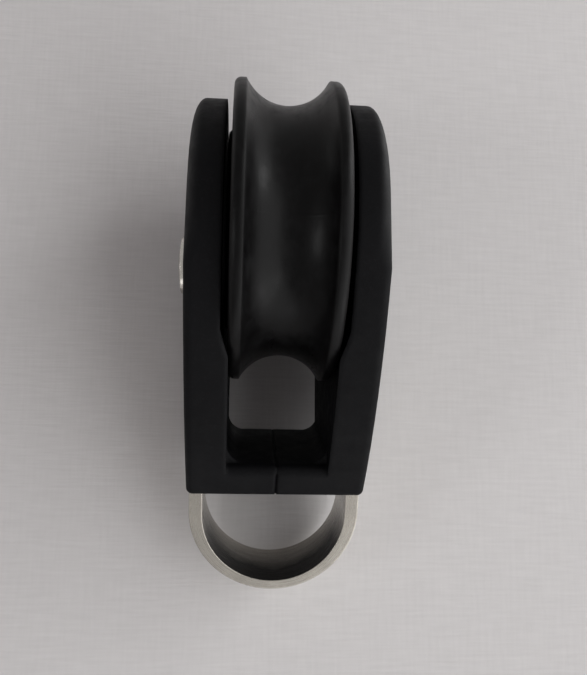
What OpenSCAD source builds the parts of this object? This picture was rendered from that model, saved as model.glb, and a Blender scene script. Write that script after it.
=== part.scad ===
// Single sailing block with a fixed strap bail, all sizes in millimetres.
// Origin at the sheave's centre: X along the axle, Z along the block with the bail at the bottom.

/* [Sheave] */
// Diameter over the rope groove's lips
sheave_d = 40; // [38.5:0.5:41]
// Diameter at the bottom of the rope groove
groove_d = 33.4; // [32.5:0.1:34]
// Width over both flanges
sheave_w = 13.8; // [13.3:0.1:14]
// Radius of the groove's section
groove_r = 6.1; // [5.8:0.1:6.4]
// Radius of each rounded lip
lip_r = 0.87; // [0.7:0.01:0.95]

/* [Ball race] */
// Diameter of the bearing balls
ball_d = 3.6; // [3.2:0.1:3.7]
// Radius of the sleeve that the balls run on
race_r = 8.6; // [8.4:0.1:8.7]
// Wall of that sleeve
race_t = 0.8; // [0.6:0.1:0.9]
// Running clearance between a ball and each race
ball_gap = 0.05; // [0.04:0.01:0.08]

/* [Cheeks] */
// Radius of the round head
head_r = 17.2; // [16.8:0.1:17.6]
// Reach of the head's soft rim in from its edge
rim_r = 4.4; // [3:0.1:6]
// How far that rim falls away from the outer face
rim_x = 1.8; // [1:0.1:2.4]
// Width across both cheeks
cheek_w = 24.35; // [24:0.05:26]
// Clear width between the walls below the sheave
window_w = 13.55; // [13.4:0.05:13.9]
// Depth of the floor below the axle
floor_drop = 30.35; // [29:0.05:32]
// Thickness of the floor
floor_t = 4.85; // [4:0.05:5.4]
// Depth of the foot from front to back, at its bottom
foot_d = 13.6; // [12:0.2:16]
// Radius of the bowed front and back
side_r = 85; // [75:1:120]
// Depth below the axle at which the soft rim ends and the edges of the legs begin
shoulder_drop = 3; // [2.5:0.1:6]
// Edge radius of the legs and of the foot
leg_edge = 0.9; // [0.6:0.1:1.2]
// Depth of the round recess beside each flange
recess_depth = 1; // [0.8:0.05:1.2]
// Fillet where the walls meet the floor
floor_fillet = 2.5; // [1.5:0.1:3]

/* [Bail] */
// Width of the strap
strap_w = 9.4; // [8.4:0.2:10]
// Thickness of the strap's legs
strap_t = 1.85; // [1.5:0.05:2]
// Width across both legs
bail_w = 23.75; // [23.4:0.05:24]
// Drop of the bail below the foot
bail_drop = 15.05; // [14:0.05:18]
// How much thinner the strap is at the middle of its bend
bend_thin = 0.6; // [0.3:0.05:0.7]

/* [Fastener] */
// Thread diameter of the screw
screw_d = 4; // [3.5:0.1:4.1]
// Drop of the screw below the sheave's axis
screw_drop = 4.8; // [4.5:0.1:5]
// Diameter of the screw's head
head_d = 7.7; // [7:0.1:8.2]
// Height of the screw's head
head_h = 2.15; // [1.8:0.05:2.4]
// Height of the dome on that head
dome_h = 0.5; // [0.4:0.05:0.9]
// Width of the nut across its flats
nut_af = 7; // [6.6:0.1:7.4]
// Height of the nut
nut_h = 2.2; // [1.8:0.1:2.4]

/* [Hidden] */
$fn = 96;
ball_n = 16;
wall_x = window_w / 2;
recess_x = wall_x + recess_depth;
outer_x = cheek_w / 2;
strap_x = bail_w / 2;
channel_x = strap_x - strap_t;
foot_z = -floor_drop - floor_t;
fit_gap = 0.02;
boss_r = race_r - race_t - fit_gap;
bore_r = race_r + ball_d + 2 * ball_gap;
pitch_r = race_r + ball_gap + ball_d / 2;
rib_x = 0.5;
rib_h = 1.3;
row_gap = 0.15;
row_x = rib_x + row_gap + ball_d / 2;
keeper_gap = 0.25;
keeper_x = row_x + ball_d / 2 + keeper_gap;
keeper_room = 0.3;
hub_wall = 1.3;
hub_slope = 0.6;
hub_rise = 0.55;
recess_r = sheave_d / 2 - 0.9;
recess_flare = 1.6 * recess_depth;
strap_gap = 0.1;
hole_gap = 0.1;
hole_r = screw_d / 2 + hole_gap;
tip = 0.4;
screw_end = strap_x + nut_h + tip;
socket_af = 2.5;
socket_depth = 1.3;
peg_r = 1.1;
peg_len = 2;
peg_gap = 0.05;
peg_y = foot_d / 4;
peg_z = -floor_drop - floor_t / 2;
seam_v = 0.3;
front_r = 1.2;
// Overlap of cutting and joining shapes, so that no two faces fall together
lap = 1;

// Centre of the bowed side at +Y: an arc that runs from the foot into the round head as its tangent
foot_reach = norm([foot_d / 2, foot_z]);
side_reach = side_r - head_r;
side_turn = acos((side_reach * side_reach + foot_reach * foot_reach - side_r * side_r)
    / (2 * side_reach * foot_reach));
side_angle = atan2(foot_z, foot_d / 2) - side_turn;
side_y = side_reach * cos(side_angle);
side_z = side_reach * sin(side_angle);

// Half depth of the block at height z, this far inside the bowed side
function half_depth(inside, z) = side_y + sqrt(pow(side_r - inside, 2) - pow(z - side_z, 2));

// Lean of the bowed side from upright at height z
function lean(z) = asin((side_z - z) / side_r);

// Quarter of an ellipse from the outer face to the edge of the head, as [radius, x]
rim_steps = 10;
rim = [for (i = [0 : rim_steps])
    [head_r - rim_r * (1 - sin(90 * i / rim_steps)), outer_x - rim_x * (1 - cos(90 * i / rim_steps))]];

// Heights of the edge's centre line along a leg, from the shoulder to the foot
leg_steps = 8;
leg_heights = [for (i = [0 : leg_steps])
    -shoulder_drop + (foot_z + leg_edge + shoulder_drop) * i / leg_steps];

function two(i) = i < 10 ? str("0", i) : str(i);
left_balls = [for (i = [1 : ball_n]) str("ball_left_", two(i))];
right_balls = [for (i = [1 : ball_n]) str("ball_right_", two(i))];

// A turned shape about the X axis: the outline is drawn as [radius, x]
module turned() {
    rotate([90, 0, 90])
        rotate_extrude()
            children();
}

// A shape drawn as [x, z] and run through the block from front to back
module through_y(depth) {
    translate([0, depth / 2, 0])
        rotate([90, 0, 0])
            linear_extrude(depth)
                children();
}

// A shape drawn as [y, z] and run along the axle from x0 to x1
module along_x(x0, x1) {
    translate([x0, 0, 0])
        rotate([90, 0, 90])
            linear_extrude(x1 - x0)
                children();
}

// Outer form of one cheek with its half of the foot: round head with a soft rim, bowed legs, rounded edges
module cheek_form() {
    hull() {
        turned()
            polygon(concat([[head_r, 0], [0, 0], [0, outer_x]], rim));
        for (side = [-1, 1], z = leg_heights)
            translate([0, side * half_depth(leg_edge, z), z]) {
                rotate([0, 90, 0])
                    cylinder(r = leg_edge, h = outer_x - leg_edge, $fn = 32);
                translate([outer_x - leg_edge, 0, 0])
                    sphere(leg_edge, $fn = 32);
            }
    }
}

// Room between the cheeks: the rope window with filleted floor corners, and the sheave's recess
module inner_room() {
    through_y(3 * head_r) {
        translate([-lap, -floor_drop + floor_fillet])
            square([wall_x + lap, floor_drop + 2 * head_r]);
        translate([-lap, -floor_drop])
            square([wall_x + lap - floor_fillet, floor_drop]);
        translate([wall_x - floor_fillet, -floor_drop + floor_fillet])
            circle(floor_fillet);
    }
    turned()
        polygon([[0, -lap], [recess_r + recess_flare, -lap], [recess_r + recess_flare, wall_x],
                 [recess_r, recess_x], [0, recess_x]]);
}

// Channel in the outer face for one leg of the strap, with a round end about the screw
module strap_channel() {
    along_x(channel_x, outer_x + lap) {
        translate([0, -screw_drop])
            circle(strap_w / 2 + strap_gap);
        translate([-strap_w / 2 - strap_gap, foot_z - lap])
            square([strap_w + 2 * strap_gap, -foot_z + lap - screw_drop]);
    }
}

// Waste that is cut off to round the floor's edge at the back of the block
module floor_edge() {
    z = -floor_drop - front_r;
    y = half_depth(front_r, z);
    reach = 3 * front_r;
    along_x(-lap, wall_x)
        difference() {
            polygon([[y, z], [y + reach * cos(lean(z)), z - reach * sin(lean(z))],
                     [y + reach, z + reach], [y, z + reach]]);
            translate([y, z])
                circle(front_r);
        }
}

// Small V where the two halves of the foot meet, along its bottom and top and up the front and back
module seam_groove() {
    for (z = [foot_z, -floor_drop])
        translate([0, 0, z])
            rotate([90, 0, 0])
                linear_extrude(2 * foot_d, center = true)
                    rotate(45)
                        square(seam_v * sqrt(2), center = true);
    for (side = [-1, 1])
        translate([0, side * side_y, side_z])
            turned()
                translate([side_r, 0])
                    rotate(45)
                        square(seam_v * sqrt(2), center = true);
}

// One moulded cheek with the half hub on its inner side
module cheek_half() {
    difference() {
        cheek_form();
        difference() {
            inner_room();
            rotate([0, 90, 0])
                cylinder(r = boss_r, h = 2 * outer_x, center = true);
        }
        strap_channel();
        floor_edge();
        mirror([0, 1, 0])
            floor_edge();
        seam_groove();
        translate([-lap, 0, -screw_drop])
            rotate([0, 90, 0])
                cylinder(r = hole_r, h = outer_x + 2 * lap);
    }
}

// Left moulded half, which carries the two pegs of the foot
module left_cheek() {
    color([0.06, 0.06, 0.065]) {
        mirror([1, 0, 0])
            cheek_half();
        for (side = [-1, 1])
            translate([-lap, side * peg_y, peg_z])
                rotate([0, 90, 0])
                    cylinder(r = peg_r, h = peg_len + lap);
    }
}

// Right moulded half, with the sockets for those pegs
module right_cheek() {
    color([0.06, 0.06, 0.065])
        difference() {
            cheek_half();
            for (side = [-1, 1])
                translate([-lap, side * peg_y, peg_z])
                    rotate([0, 90, 0])
                        cylinder(r = peg_r + peg_gap, h = peg_len + 2 * peg_gap + lap);
        }
}

// Bent strap: two legs in the cheeks' channels and a round bail that is drawn thinner at its bend
module bail_strap() {
    bend_z = foot_z - bail_drop + strap_x;
    inner_z = foot_z - bail_drop + strap_t - bend_thin + channel_x;
    color([0.72, 0.70, 0.66])
        difference() {
            through_y(strap_w) {
                translate([0, bend_z])
                    circle(strap_x, $fn = 160);
                translate([-strap_x, bend_z])
                    square([2 * strap_x, -bend_z + strap_w]);
            }
            through_y(2 * strap_w) {
                translate([0, inner_z])
                    circle(channel_x, $fn = 160);
                translate([-channel_x, inner_z])
                    square([2 * channel_x, -inner_z + 2 * strap_w]);
            }
            along_x(-2 * strap_x, 2 * strap_x)
                difference() {
                    translate([-strap_w, -screw_drop])
                        square([2 * strap_w, 3 * strap_w]);
                    translate([0, -screw_drop])
                        circle(strap_w / 2);
                }
            translate([0, 0, -screw_drop])
                rotate([0, 90, 0])
                    cylinder(r = hole_r, h = 4 * strap_x, center = true);
        }
}

// Domed screw with a hexagon socket, which clamps strap, cheeks and half hubs together
module through_screw() {
    dome_r = (pow(head_d / 2, 2) + pow(dome_h, 2)) / (2 * dome_h);
    head_x = -strap_x - head_h;
    color([0.75, 0.73, 0.70])
        translate([0, 0, -screw_drop])
            difference() {
                union() {
                    intersection() {
                        translate([head_x + dome_r, 0, 0])
                            sphere(dome_r);
                        translate([head_x, 0, 0])
                            rotate([0, 90, 0])
                                cylinder(d = head_d, h = head_h);
                    }
                    translate([-strap_x - tip, 0, 0])
                        rotate([0, 90, 0])
                            cylinder(d = screw_d, h = screw_end + strap_x);
                    translate([screw_end - tip, 0, 0])
                        rotate([0, 90, 0])
                            cylinder(d1 = screw_d, d2 = screw_d - 2 * tip, h = tip);
                }
                translate([head_x - lap, 0, 0])
                    rotate([0, 90, 0])
                        cylinder(d = socket_af / cos(30), h = socket_depth + lap, $fn = 6);
            }
}

// Thin hexagon nut with chamfered corners, on the right leg of the strap
module thin_nut() {
    nut_r = nut_af / sqrt(3);
    chamfer = 0.35;
    color([0.75, 0.73, 0.70])
        translate([strap_x, 0, -screw_drop])
            difference() {
                intersection() {
                    rotate([0, 90, 0])
                        cylinder(r = nut_r, h = nut_h, $fn = 6);
                    turned()
                        polygon([[0, 0], [nut_r - chamfer, 0], [nut_r, chamfer / 2],
                                 [nut_r, nut_h - chamfer / 2], [nut_r - chamfer, nut_h], [0, nut_h]]);
                }
                rotate([0, 90, 0])
                    cylinder(d = screw_d + fit_gap, h = 3 * nut_h, center = true);
            }
}

// Grooved wheel with raised hub faces, the outer race in its bore and a rib between the two rows of balls
module sheave() {
    lip_x = sheave_w / 2 - lip_r;
    lip_c = sheave_d / 2 - lip_r;
    hub_x = sheave_w / 2 + hub_rise;
    color([0.09, 0.09, 0.095])
        turned()
            difference() {
                union() {
                    translate([bore_r, -sheave_w / 2])
                        square([lip_c - bore_r, sheave_w]);
                    translate([bore_r, -lip_x])
                        square([sheave_d / 2 - bore_r, 2 * lip_x]);
                    translate([bore_r - rib_h, -rib_x])
                        square([rib_h + lap, 2 * rib_x]);
                    for (side = [-1, 1])
                        translate([lip_c, side * lip_x])
                            circle(lip_r);
                    translate([bore_r, 0])
                        polygon([[0, -hub_x], [hub_wall - hub_slope, -hub_x], [hub_wall, -sheave_w / 2],
                                 [hub_wall, sheave_w / 2], [hub_wall - hub_slope, hub_x], [0, hub_x]]);
                }
                translate([groove_d / 2 + groove_r, 0])
                    circle(groove_r);
            }
}

// Sleeve on the two half hubs that the balls run on
module race_sleeve() {
    color([0.78, 0.77, 0.74])
        turned()
            translate([race_r - race_t, -recess_x])
                square([race_t, 2 * recess_x]);
}

// Ring beside one row of balls that keeps them in the race
module ball_keeper(side) {
    color([0.12, 0.12, 0.13])
        turned()
            translate([race_r, side > 0 ? keeper_x : -recess_x])
                square([bore_r - race_r - keeper_room, recess_x - keeper_x]);
}

// One bearing ball: the rows stand half a step apart
module bearing_ball(side, i) {
    turn = (i + (side > 0 ? 0.5 : 0)) * 360 / ball_n;
    color([0.85, 0.84, 0.80])
        rotate([turn, 0, 0])
            translate([side * row_x, 0, pitch_r])
                sphere(d = ball_d, $fn = 48);
}

left_cheek();
right_cheek();
bail_strap();
through_screw();
thin_nut();
sheave();
race_sleeve();
ball_keeper(-1);  // ball_keeper_left
ball_keeper(1);  // ball_keeper_right
for (i = [1 : ball_n]) {
    bearing_ball(-1, i);
    bearing_ball(1, i);
}
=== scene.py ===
import math

import bpy
from mathutils import Matrix, Vector


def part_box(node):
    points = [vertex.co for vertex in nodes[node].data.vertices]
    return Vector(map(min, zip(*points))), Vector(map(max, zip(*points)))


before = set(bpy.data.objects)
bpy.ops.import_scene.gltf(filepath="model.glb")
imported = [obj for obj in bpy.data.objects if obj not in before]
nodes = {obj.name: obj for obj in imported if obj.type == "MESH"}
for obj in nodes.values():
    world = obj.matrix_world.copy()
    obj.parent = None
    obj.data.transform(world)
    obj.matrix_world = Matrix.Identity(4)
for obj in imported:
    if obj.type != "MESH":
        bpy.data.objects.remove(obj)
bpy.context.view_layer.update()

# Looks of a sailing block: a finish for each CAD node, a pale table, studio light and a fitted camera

MM = 0.001
BEVEL_SAMPLES = 6
scene = bpy.context.scene


# Sizes that are read from the frame

sheave_low, sheave_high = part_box("sheave")
strap_low, strap_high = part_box("bail_strap")
screw_low, screw_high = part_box("through_screw")
SHEAVE_R = sheave_high.z
STRAP_X = strap_high.x
STRAP_Y = strap_high.y
BAIL_Z = strap_low.z
BEND_Z = BAIL_Z + STRAP_X
SCREW_Z = (screw_low.z + screw_high.z) / 2


# Colours, in linear light

NYLON_DARK = (0.0022, 0.0022, 0.0027)
NYLON_LIGHT = (0.0036, 0.0036, 0.0043)
NYLON_EDGE = (0.018, 0.018, 0.0195)
KEEPER_DARK = (0.02, 0.02, 0.021)
KEEPER_LIGHT = (0.03, 0.03, 0.032)
KEEPER_EDGE = (0.07, 0.07, 0.072)
ACETAL_DARK = (0.0012, 0.0011, 0.0012)
ACETAL_LIGHT = (0.0022, 0.002, 0.0022)
ACETAL_RUBBED = (0.009, 0.0088, 0.0088)
ACETAL_SMUDGE = (0.0105, 0.011, 0.0118)
ACETAL_EDGE = (0.02, 0.02, 0.0205)
STRAP_LIGHT = (0.476, 0.445, 0.399)
STRAP_DARK = (0.41, 0.384, 0.344)
STRAP_LINES = (0.28, 0.262, 0.238)
# Near-black colour painted on the inside of the bail's bend as a dark reflection and shade
STRAP_PAINTED_DARK = (0.011, 0.0102, 0.0094)
FASTENER_LIGHT = (0.68, 0.65, 0.61)
FASTENER_DARK = (0.56, 0.53, 0.49)
RACE_LIGHT = (0.62, 0.61, 0.6)
RACE_DARK = (0.52, 0.51, 0.5)
BALL_LIGHT = (0.74, 0.72, 0.67)
BALL_DARK = (0.6, 0.58, 0.53)
TABLE_MEAN = (0.6, 0.595, 0.59)
TABLE_DARK = (0.545, 0.537, 0.534)
TABLE_LIGHT = (0.68, 0.67, 0.666)
AMBIENT = (0.845, 0.765, 0.772)
AMBIENT_STRENGTH = 0.28
BACKGROUND = (0.46, 0.456, 0.452)


# Small helpers for node trees

class Finish:
    """A material with one Principled shader, and short calls that add and join nodes."""

    def __init__(self, name, color, roughness, **sockets):
        self.material = bpy.data.materials.new(name)
        self.material.use_nodes = True
        self.tree = self.material.node_tree
        self.shader = self.tree.nodes["Principled BSDF"]
        self.material.diffuse_color = (*color, 1)
        self.shader.inputs["Base Color"].default_value = (*color, 1)
        self.shader.inputs["Roughness"].default_value = roughness
        for socket, value in sockets.items():
            self.shader.inputs[socket.replace("_", " ")].default_value = value

    def add(self, kind, **settings):
        """A node with its settings; a setting that isn't a property is the value or source of an input."""
        node = self.tree.nodes.new(kind)
        for key, value in settings.items():
            if key in node.bl_rna.properties:
                setattr(node, key, value)
            else:
                self.put(node.inputs[key.replace("_", " ")], value)
        return node

    def put(self, socket, value):
        """Links an output to this socket, or sets the socket's own value."""
        if isinstance(value, bpy.types.NodeSocket):
            self.tree.links.new(value, socket)
        else:
            socket.default_value = value

    def math(self, operation, first, second=0.0, clamp=False):
        node = self.tree.nodes.new("ShaderNodeMath")
        node.operation = operation
        node.use_clamp = clamp
        self.put(node.inputs[0], first)
        self.put(node.inputs[1], second)
        return node.outputs[0]

    def plus(self, first, second):
        return self.math("ADD", first, second)

    def minus(self, first, second):
        return self.math("SUBTRACT", first, second)

    def times(self, first, second):
        return self.math("MULTIPLY", first, second)

    def absolute(self, value):
        return self.math("ABSOLUTE", value)

    def distance(self, first, second):
        """Length of the hypotenuse over these two legs."""
        return self.math("SQRT", self.plus(self.times(first, first), self.times(second, second)))

    def place(self):
        """Object coordinates in metres, which stay with the piece when it moves."""
        return self.add("ShaderNodeTexCoord").outputs["Object"]

    def split(self, vector):
        node = self.add("ShaderNodeSeparateXYZ", Vector=vector)
        return node.outputs["X"], node.outputs["Y"], node.outputs["Z"]

    def join(self, x, y, z):
        return self.add("ShaderNodeCombineXYZ", X=x, Y=y, Z=z).outputs["Vector"]

    def facing(self):
        """The three parts of the true surface normal."""
        return self.split(self.add("ShaderNodeNewGeometry").outputs["True Normal"])

    def noise(self, vector, size, detail=3.0, roughness=0.5):
        """Noise whose blobs are about this size, in metres."""
        node = self.add("ShaderNodeTexNoise", Vector=vector, Scale=1 / size)
        node.inputs["Detail"].default_value = detail
        node.inputs["Roughness"].default_value = roughness
        return node.outputs["Fac"]

    def ranged(self, value, low, high, out_low, out_high):
        """Maps low to high onto out_low to out_high, and holds the ends."""
        node = self.add("ShaderNodeMapRange", Value=value)
        node.inputs["From Min"].default_value = low
        node.inputs["From Max"].default_value = high
        node.inputs["To Min"].default_value = out_low
        node.inputs["To Max"].default_value = out_high
        return node.outputs["Result"]

    def mask(self, value, low, high):
        """Rises from 0 to 1 between low and high."""
        return self.ranged(value, low, high, 0.0, 1.0)

    def mix(self, factor, first, second):
        """A mix of two colours; each is a colour or a colour output."""
        node = self.tree.nodes.new("ShaderNodeMix")
        node.data_type = "RGBA"
        colors = [socket for socket in node.inputs if socket.type == "RGBA"]
        self.put(node.inputs["Factor"], factor)
        for socket, value in zip(colors, (first, second)):
            self.put(socket, value if isinstance(value, bpy.types.NodeSocket) else (*value, 1))
        return next(socket for socket in node.outputs if socket.type == "RGBA")

    def soft_normal(self, radius):
        """A normal that rounds the edges by this radius."""
        return self.add("ShaderNodeBevel", samples=BEVEL_SAMPLES, Radius=radius).outputs["Normal"]

    def edge_turn(self, soft):
        """How far a soft normal turns from the surface's own, which is most on edges."""
        own = self.add("ShaderNodeNewGeometry").outputs["Normal"]
        turn = self.add("ShaderNodeVectorMath", operation="DOT_PRODUCT")
        self.put(turn.inputs[0], soft)
        self.put(turn.inputs[1], own)
        return self.math("SUBTRACT", 1.0, turn.outputs["Value"], clamp=True)

    def bump(self, height, distance, normal=None):
        node = self.add("ShaderNodeBump", Height=height, Distance=distance, Strength=1.0)
        if normal is not None:
            self.put(node.inputs["Normal"], normal)
        return node.outputs["Normal"]

    def drive(self, socket, value):
        """Links a value to one of the shader's own sockets."""
        self.put(self.shader.inputs[socket], value)


# Finishes

NYLON_GLOSS = 0.08
INNER_WALL_GLOSS = 0.01
ACETAL_GLOSS = 0.115
FASTENER_ROUGHNESS = 0.2
RACE_ROUGHNESS = 0.28
SHEAVE_Z = 0.0
INNER_WALL_X = 7.9 * MM
OUTER_WALL_X = 8.3 * MM
CHEEK_EDGE_R = 0.8 * MM
KEEPER_EDGE_R = 0.15 * MM
LIP_SHADE_R = 0.75 * MM
LIP_WEAR_R = 0.2 * MM
STRAP_EDGE_R = 0.18 * MM
FASTENER_EDGE_R = 0.15 * MM
KNIT_ANGLE = math.radians(170.4)


def moulded_nylon(name, dark, light, edge, edge_radius):
    """Black glass-filled nylon: sparked grain, flow marks, scuffed sides, edges rubbed a little paler."""
    finish = Finish(name, dark, 0.58, Specular_IOR_Level=NYLON_GLOSS)
    place = finish.place()
    x, y, z = finish.split(place)
    flow = finish.noise(finish.join(x, y, finish.times(z, 0.35)), 9 * MM, 4.0, 0.6)
    specks = finish.noise(place, 0.35 * MM, 2.0, 0.6)
    rub = finish.noise(place, 2.2 * MM, 5.0, 0.7)
    strokes = finish.noise(finish.join(x, y, finish.times(z, 0.07)), 0.14 * MM, 2.0, 0.5)
    patches = finish.noise(place, 5 * MM, 3.0, 0.55)
    sideways = finish.mask(finish.absolute(finish.facing()[0]), 0.6, 0.9)
    between = finish.ranged(finish.absolute(x), INNER_WALL_X, OUTER_WALL_X, 1.0, 0.0)
    normal = finish.soft_normal(edge_radius)
    edges = finish.mask(finish.edge_turn(normal), 0.02, 0.22)
    worn = finish.times(edges, finish.ranged(rub, 0.42, 0.62, 0.1, 1.0))
    scuffs = finish.times(finish.mask(strokes, 0.56, 0.7), finish.ranged(patches, 0.48, 0.64, 0.0, 0.55))
    paler = finish.math("MAXIMUM", finish.times(worn, 0.6), finish.times(scuffs, sideways))
    body = finish.mix(finish.mask(flow, 0.35, 0.65), dark, light)
    body = finish.mix(finish.times(finish.mask(specks, 0.55, 0.75), 0.15), body, edge)
    finish.drive("Base Color", finish.mix(paler, body, edge))
    inner = finish.times(sideways, between)
    finish.drive("Specular IOR Level", finish.ranged(inner, 0.0, 1.0, NYLON_GLOSS, INNER_WALL_GLOSS))
    dull = finish.ranged(rub, 0.3, 0.7, 0.48, 0.68)
    finish.drive("Roughness", finish.plus(dull, finish.times(worn, -0.1)))
    grain = finish.plus(finish.noise(place, 0.16 * MM, 2.0), finish.times(specks, 0.8))
    finish.drive("Normal", finish.bump(grain, 0.012 * MM, normal))
    return finish.material


def turned_acetal(name, dark, light):
    """Black acetal wheel: smudged satin skin, rings round its axis, a knit line across the groove."""
    finish = Finish(name, dark, 0.32, Specular_IOR_Level=ACETAL_GLOSS)
    place = finish.place()
    x, y, z = finish.split(place)
    radius = finish.distance(y, z)
    around = finish.math("ARCTAN2", z, y)
    rings = finish.noise(finish.join(x, radius, finish.times(around, 0.4 * MM)), 0.22 * MM, 3.0, 0.6)
    streaks = finish.noise(finish.join(x, radius, finish.times(around, 6 * MM)), 1.6 * MM, 4.0, 0.6)
    cloud = finish.noise(place, 7 * MM, 4.0, 0.6)
    smudges = finish.mask(finish.noise(place, 1.6 * MM, 6.0, 0.65), 0.48, 0.66)
    off_knit = finish.times(finish.absolute(finish.minus(around, KNIT_ANGLE)), radius)
    knit = finish.ranged(off_knit, 0.05 * MM, 0.2 * MM, 1.0, 0.0)
    body = finish.mix(finish.mask(cloud, 0.35, 0.65), dark, light)
    body = finish.mix(finish.times(finish.mask(streaks, 0.4, 0.7), 0.2), body, ACETAL_RUBBED)
    body = finish.mix(finish.times(smudges, 0.15), body, ACETAL_SMUDGE)
    worn = finish.ranged(finish.edge_turn(finish.soft_normal(LIP_WEAR_R)), 0.03, 0.25, 0.0, 0.45)
    finish.drive("Base Color", finish.mix(worn, body, ACETAL_EDGE))
    satin = finish.ranged(streaks, 0.3, 0.7, 0.26, 0.4)
    satin = finish.plus(satin, finish.ranged(cloud, 0.3, 0.7, -0.03, 0.04))
    finish.drive("Roughness", finish.plus(satin, finish.times(smudges, 0.08)))
    height = finish.plus(finish.times(rings, 0.5), finish.times(knit, 0.7))
    finish.drive("Normal", finish.bump(height, 0.012 * MM, finish.soft_normal(LIP_SHADE_R)))
    return finish.material


def strap_steel(name, color, tint):
    """Stainless strip: brush lines along its length, faint handling marks, and a painted dark reflection
    and shade inside the bend.
    """
    finish = Finish(name, color, 0.2, Metallic=1.0)
    place = finish.place()
    x, y, z = finish.split(place)
    below = finish.math("MINIMUM", finish.minus(z, BEND_Z), 0.0)
    across = finish.distance(x, below)
    along = finish.plus(finish.times(z, 0.02), finish.times(x, 0.02))
    strip = finish.join(across, y, along)
    lines = finish.noise(strip, 0.07 * MM, 4.0, 0.65)
    bands = finish.noise(strip, 0.8 * MM, 3.0, 0.6)
    marks = finish.noise(place, 3.5 * MM, 5.0, 0.65)
    body = finish.mix(finish.mask(marks, 0.35, 0.65), color, tint)
    body = finish.mix(finish.ranged(lines, 0.35, 0.75, 0.0, 0.25), body, STRAP_LINES)
    facing_x, _, facing_z = finish.facing()
    # Painted dark reflection and shade: inner faces low in the bend, most towards the front edge, are
    # coloured near-black
    inward = finish.plus(finish.times(facing_x, x), finish.times(facing_z, below))
    inside = finish.ranged(finish.math("DIVIDE", inward, across), -0.9, -0.6, 1.0, 0.0)
    bend = finish.ranged(below, -0.45 * STRAP_X, -0.05 * STRAP_X, 1.0, 0.0)
    ragged_y = finish.plus(y, finish.ranged(marks, 0.3, 0.7, -0.6 * MM, 0.6 * MM))
    front = finish.ranged(ragged_y, -0.3 * STRAP_Y, 0.9 * STRAP_Y, 1.0, 0.25)
    painted_dark_reflection = finish.times(finish.times(inside, bend), front)
    finish.drive("Base Color", finish.mix(painted_dark_reflection, body, STRAP_PAINTED_DARK))
    brushed = finish.ranged(bands, 0.3, 0.7, 0.22, 0.3)
    finish.drive("Roughness", finish.plus(brushed, finish.ranged(lines, 0.3, 0.7, -0.03, 0.04)))
    finish.drive("Normal", finish.bump(lines, 0.002 * MM, finish.soft_normal(STRAP_EDGE_R)))
    return finish.material


def turned_steel(name, color, tint, roughness, axis_z):
    """Polished or turned steel: rings about an axis along X at this height."""
    finish = Finish(name, color, roughness, Metallic=1.0)
    place = finish.place()
    x, y, z = finish.split(place)
    rise = finish.minus(z, axis_z)
    radius = finish.distance(y, rise)
    around = finish.math("ARCTAN2", rise, y)
    rings = finish.noise(finish.join(x, radius, finish.times(around, 0.1 * MM)), 0.09 * MM, 3.0, 0.6)
    marks = finish.noise(place, 1.5 * MM, 5.0, 0.65)
    finish.drive("Base Color", finish.mix(finish.mask(marks, 0.35, 0.68), color, tint))
    handled = finish.ranged(marks, 0.3, 0.7, roughness - 0.05, roughness + 0.08)
    finish.drive("Roughness", finish.plus(handled, finish.ranged(rings, 0.3, 0.7, -0.03, 0.04)))
    finish.drive("Normal", finish.bump(rings, 0.005 * MM, finish.soft_normal(FASTENER_EDGE_R)))
    return finish.material


def greased_ball(name, color, tint):
    """Off-white acetal balls with faint grease marks."""
    finish = Finish(name, color, 0.25, Specular_IOR_Level=0.5)
    place = finish.place()
    marks = finish.noise(place, 1.2 * MM, 4.0, 0.6)
    finish.drive("Base Color", finish.mix(finish.mask(marks, 0.4, 0.7), color, tint))
    finish.drive("Roughness", finish.ranged(marks, 0.3, 0.7, 0.18, 0.34))
    finish.drive("Normal", finish.bump(finish.noise(place, 0.2 * MM, 2.0), 0.002 * MM))
    return finish.material


def dress(node, material):
    """Gives every slot of a node this material."""
    mesh = nodes[node].data
    mesh.materials.clear()
    mesh.materials.append(material)


nylon = moulded_nylon("cheek_nylon", NYLON_DARK, NYLON_LIGHT, NYLON_EDGE, CHEEK_EDGE_R)
keeper = moulded_nylon("keeper_nylon", KEEPER_DARK, KEEPER_LIGHT, KEEPER_EDGE, KEEPER_EDGE_R)
acetal = turned_acetal("sheave_acetal", ACETAL_DARK, ACETAL_LIGHT)
strap = strap_steel("strap_steel", STRAP_LIGHT, STRAP_DARK)
bright = turned_steel("fastener_steel", FASTENER_LIGHT, FASTENER_DARK, FASTENER_ROUGHNESS, SCREW_Z)
race = turned_steel("race_steel", RACE_LIGHT, RACE_DARK, RACE_ROUGHNESS, SHEAVE_Z)
ball = greased_ball("ball_acetal", BALL_LIGHT, BALL_DARK)

FINISH_OF = {
    "left_cheek": nylon,
    "right_cheek": nylon,
    "sheave": acetal,
    "bail_strap": strap,
    "through_screw": bright,
    "thin_nut": bright,
    "race_sleeve": race,
    "ball_keeper_left": keeper,
    "ball_keeper_right": keeper,
}
for node_name in nodes:
    dress(node_name, FINISH_OF.get(node_name, ball))


# Stage: a pale table behind the block, on which its sheave and its bail rest

TABLE_HALF = 0.3
TABLE_CLEARANCE = 0.05 * MM


def table_lean():
    """Lean from upright of the plane that touches the sheave's rim and the back edge of the bail."""
    reach = math.hypot(STRAP_Y, BAIL_Z)
    return math.asin(SHEAVE_R / reach) - math.atan2(STRAP_Y, -BAIL_Z)


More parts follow.
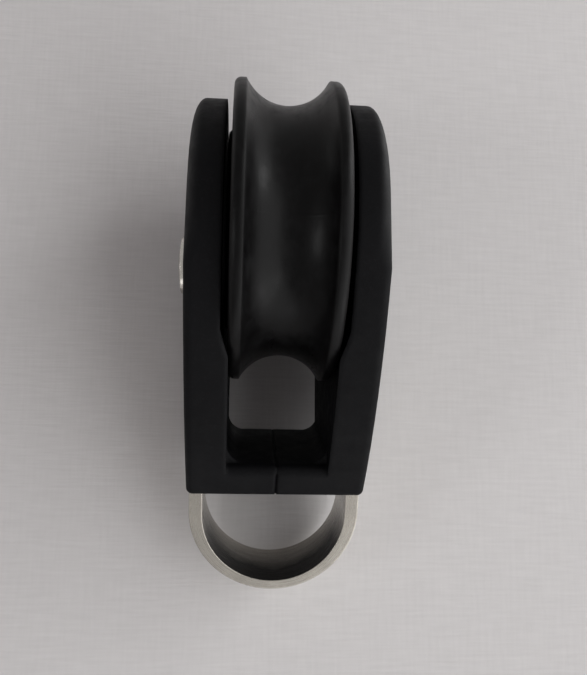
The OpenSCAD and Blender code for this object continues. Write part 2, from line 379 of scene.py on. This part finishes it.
def pale_table():
    """Pale woven cloth, which is clear from behind so that the block's back can be seen."""
    finish = Finish("table", TABLE_MEAN, 0.75, Specular_IOR_Level=0.2)
    place = finish.place()
    x, y, z = finish.split(place)
    threads = finish.noise(finish.join(finish.times(x, 0.08), y, z), 0.5 * MM, 2.0, 0.5)
    weave = finish.noise(finish.join(x, y, finish.times(z, 0.1)), 0.6 * MM, 2.0, 0.5)
    cloth = finish.plus(finish.times(threads, 0.65), finish.times(weave, 0.35))
    finish.drive("Base Color", finish.mix(cloth, TABLE_DARK, TABLE_LIGHT))
    finish.drive("Normal", finish.bump(cloth, 0.08 * MM))
    either = finish.add("ShaderNodeMixShader")
    finish.put(either.inputs[0], finish.add("ShaderNodeNewGeometry").outputs["Backfacing"])
    finish.put(either.inputs[1], finish.shader.outputs["BSDF"])
    finish.put(either.inputs[2], finish.add("ShaderNodeBsdfTransparent").outputs["BSDF"])
    finish.put(finish.tree.nodes["Material Output"].inputs["Surface"], either.outputs["Shader"])
    return finish.material


def add_table():
    half = TABLE_HALF
    mesh = bpy.data.meshes.new("table")
    corners = [(-half, 0, -half), (half, 0, -half), (half, 0, half), (-half, 0, half)]
    mesh.from_pydata(corners, [], [(0, 1, 2, 3)])
    mesh.materials.append(pale_table())
    table = bpy.data.objects.new("table", mesh)
    scene.collection.objects.link(table)
    behind = Matrix.Translation((0, SHEAVE_R + TABLE_CLEARANCE, 0))
    table.matrix_world = Matrix.Rotation(-table_lean(), 4, "X") @ behind
    table.visible_shadow = False


add_table()


# Light

def add_lamp(name, toward, distance, size, power):
    """A square soft light, in metres and watts, that looks at the block from this direction."""
    data = bpy.data.lights.new(name, "AREA")
    data.shape = "SQUARE"
    data.size = size
    data.energy = power
    lamp = bpy.data.objects.new(name, data)
    scene.collection.objects.link(lamp)
    middle = Vector((0, 0, BAIL_Z / 4))
    direction = Vector(toward).normalized()
    lamp.location = middle + direction * distance
    lamp.rotation_euler = direction.to_track_quat("Z", "Y").to_euler()


add_lamp("key_right", toward=(0.91, -0.4, -0.06), distance=0.55, size=1.1, power=6.9)
add_lamp("high_right", toward=(0.76, -0.2, 0.6), distance=0.5, size=0.16, power=0.4)
add_lamp("low_front", toward=(0.35, -0.3, -0.9), distance=0.5, size=0.6, power=1.35)
add_lamp("front_low", toward=(0.05, -0.91, -0.4), distance=0.7, size=0.36, power=0.04)
add_lamp("left_spot", toward=(-0.8, -0.6, 0.0), distance=0.5, size=0.15, power=0.32)
add_lamp("rear_right", toward=(0.55, 0.75, 0.35), distance=0.6, size=1.0, power=3.4)
add_lamp("rear_left", toward=(-0.65, 0.7, 0.1), distance=0.6, size=1.0, power=3.6)
add_lamp("rear_streak", toward=(0.72, 0.5, 0.4), distance=0.5, size=0.2, power=0.7)


def pale_world():
    """Soft ambient light, and a pale background for what the camera sees, also in metal and glass."""
    world = bpy.data.worlds.new("studio")
    scene.world = world
    world.use_nodes = True
    tree = world.node_tree
    ambient = tree.nodes["Background"]
    ambient.inputs["Color"].default_value = (*AMBIENT, 1)
    ambient.inputs["Strength"].default_value = AMBIENT_STRENGTH
    seen = tree.nodes.new("ShaderNodeBackground")
    seen.inputs["Color"].default_value = (*BACKGROUND, 1)
    seen.inputs["Strength"].default_value = 1.0
    path = tree.nodes.new("ShaderNodeLightPath")
    shown = path.outputs["Is Camera Ray"]
    for ray in ("Is Glossy Ray", "Is Transmission Ray"):
        either_ray = tree.nodes.new("ShaderNodeMath")
        either_ray.operation = "MAXIMUM"
        tree.links.new(shown, either_ray.inputs[0])
        tree.links.new(path.outputs[ray], either_ray.inputs[1])
        shown = either_ray.outputs[0]
    either = tree.nodes.new("ShaderNodeMixShader")
    tree.links.new(shown, either.inputs[0])
    tree.links.new(ambient.outputs["Background"], either.inputs[1])
    tree.links.new(seen.outputs["Background"], either.inputs[2])
    tree.links.new(either.outputs["Shader"], tree.nodes["World Output"].inputs["Surface"])


pale_world()
scene.view_settings.view_transform = "Standard"


# Camera, as fitted to the photograph

CAMERA_AZIMUTH = math.radians(-4.43)
CAMERA_ELEVATION = math.radians(10.44)
CAMERA_ROLL = math.radians(2.31)
CAMERA_AIM = Vector((2.154, 0, -14.435)) * MM
CAMERA_DISTANCE = 101.85 * MM
SENSOR_HEIGHT = 36.0
LENS = 38.53


def add_camera():
    data = bpy.data.cameras.new("camera")
    data.sensor_fit = "VERTICAL"
    data.sensor_height = SENSOR_HEIGHT
    data.lens = LENS
    data.clip_start = 1 * MM
    data.clip_end = 10.0
    camera = bpy.data.objects.new("camera", data)
    scene.collection.objects.link(camera)
    back = Vector((
        math.sin(CAMERA_AZIMUTH) * math.cos(CAMERA_ELEVATION),
        -math.cos(CAMERA_AZIMUTH) * math.cos(CAMERA_ELEVATION),
        math.sin(CAMERA_ELEVATION),
    ))
    level = Vector((math.cos(CAMERA_AZIMUTH), math.sin(CAMERA_AZIMUTH), 0))
    right = level * math.cos(CAMERA_ROLL) + back.cross(level) * math.sin(CAMERA_ROLL)
    up = back.cross(right)
    turn = Matrix((right, up, back)).transposed().to_4x4()
    camera.matrix_world = Matrix.Translation(CAMERA_AIM + back * CAMERA_DISTANCE) @ turn
    scene.camera = camera


add_camera()
